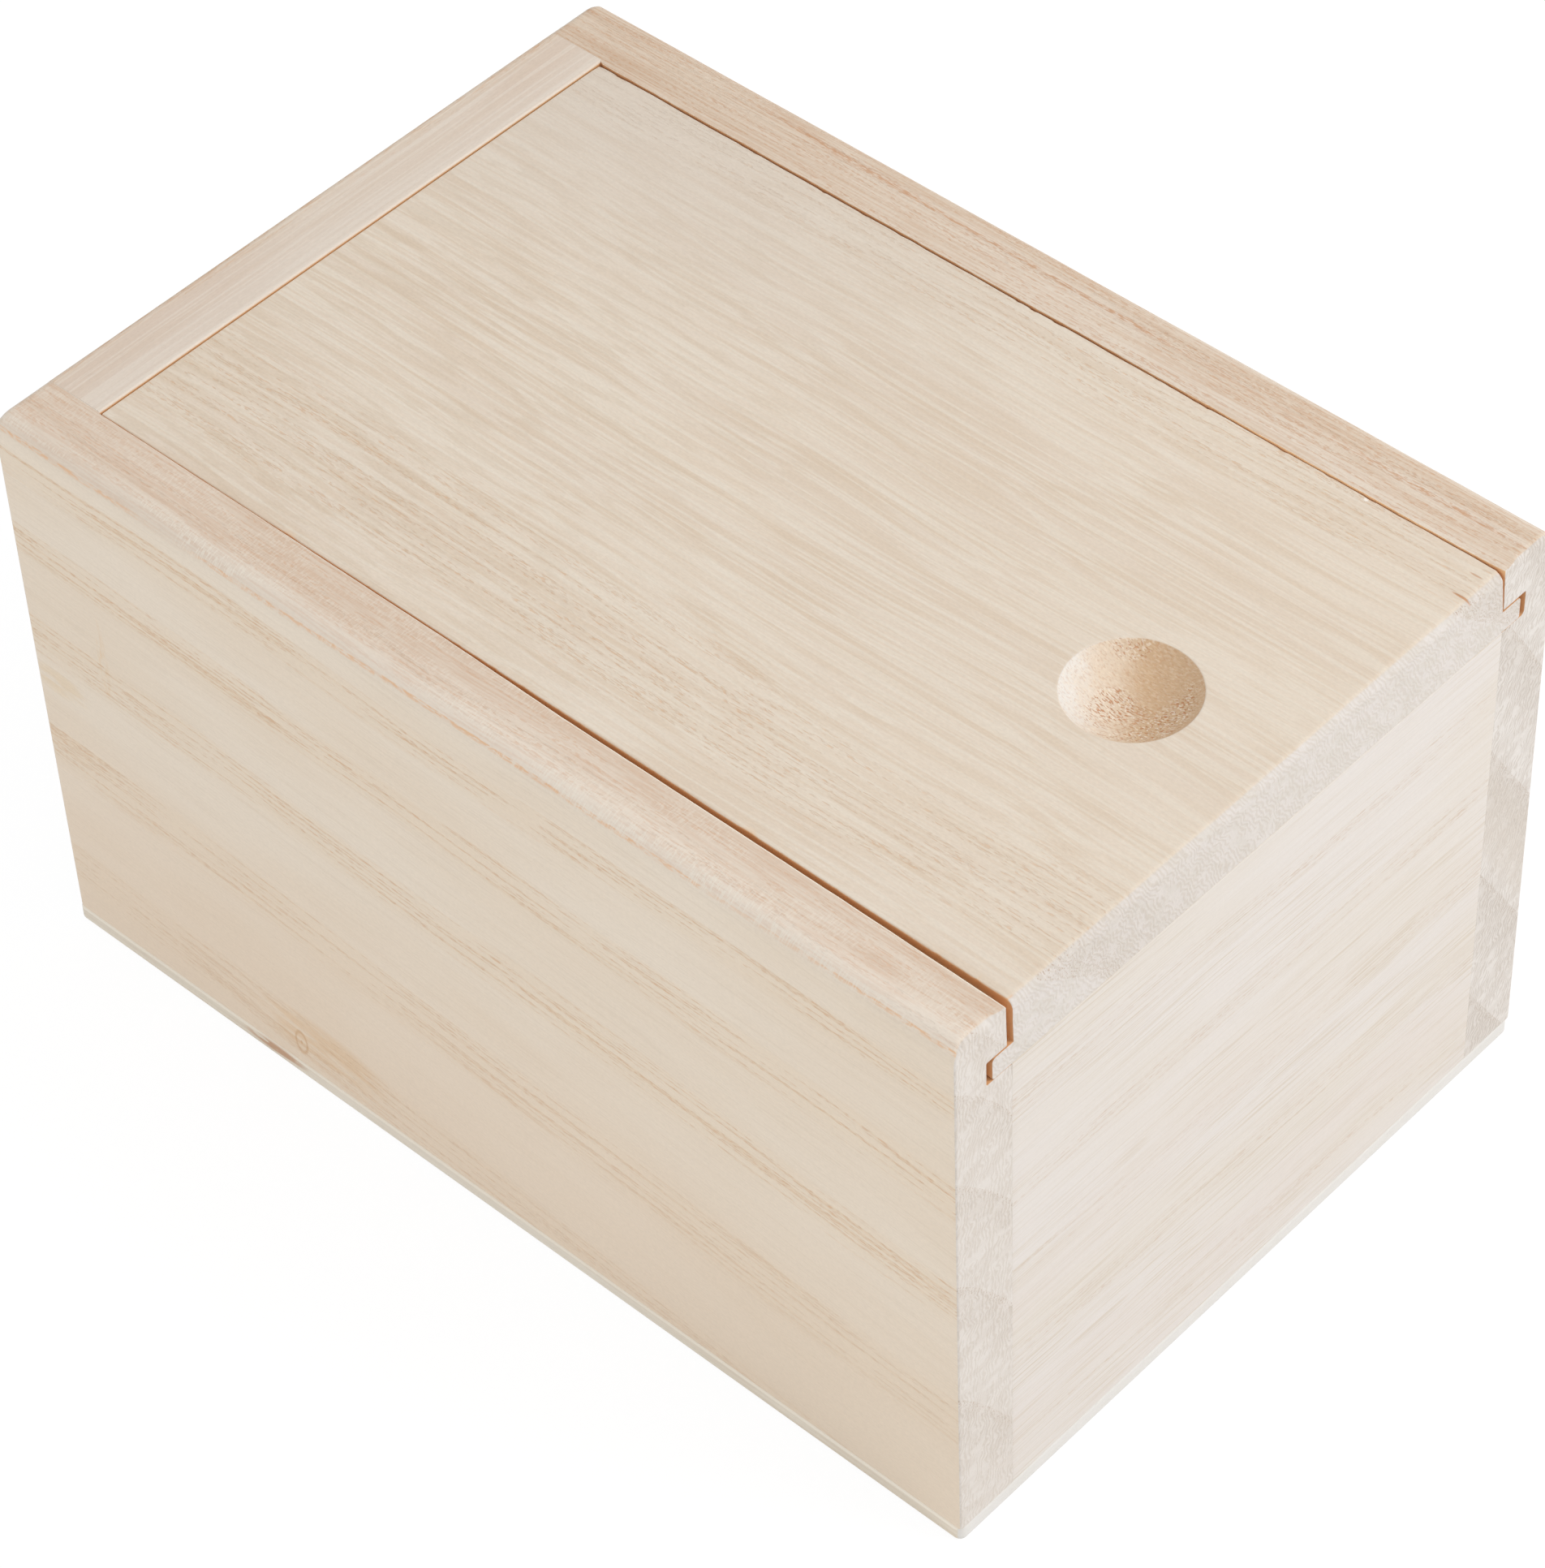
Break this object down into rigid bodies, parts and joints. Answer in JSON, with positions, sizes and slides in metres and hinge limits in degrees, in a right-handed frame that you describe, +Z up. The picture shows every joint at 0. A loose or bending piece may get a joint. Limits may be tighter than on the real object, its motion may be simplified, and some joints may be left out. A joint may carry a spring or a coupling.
{
  "type": "sliding lid wooden box",
  "caption": "Pale wooden keepsake box whose thick rebated lid slides out to the front in grooves and has a round finger dish.",
  "frame": {"origin": "middle of the closed box's underside", "axes": "+X to the front, the way the lid slides out; +Y to the right-hand side as seen from the front; +Z up"},
  "size_m": [0.175, 0.121, 0.101],
  "materials": {
    "side_board": "sanded, unfinished",
    "end_board": "sanded, unfinished",
    "bottom_board": "sanded, unfinished",
    "lid_board": "sanded, unfinished"
  },
  "bodies": {
    "box": {"left_side": "side_board", "right_side": "side_board", "back_panel": "end_board", "front_panel": "end_board", "bottom_panel": "bottom_board"},
    "lid": {"lid": "lid_board"}
  },
  "joints": [
    {"name": "lid_slide", "type": "slide", "parent": "box", "child": "lid", "axis": [1, 0, 0], "range_m": [0, 0.17]}
  ]
}
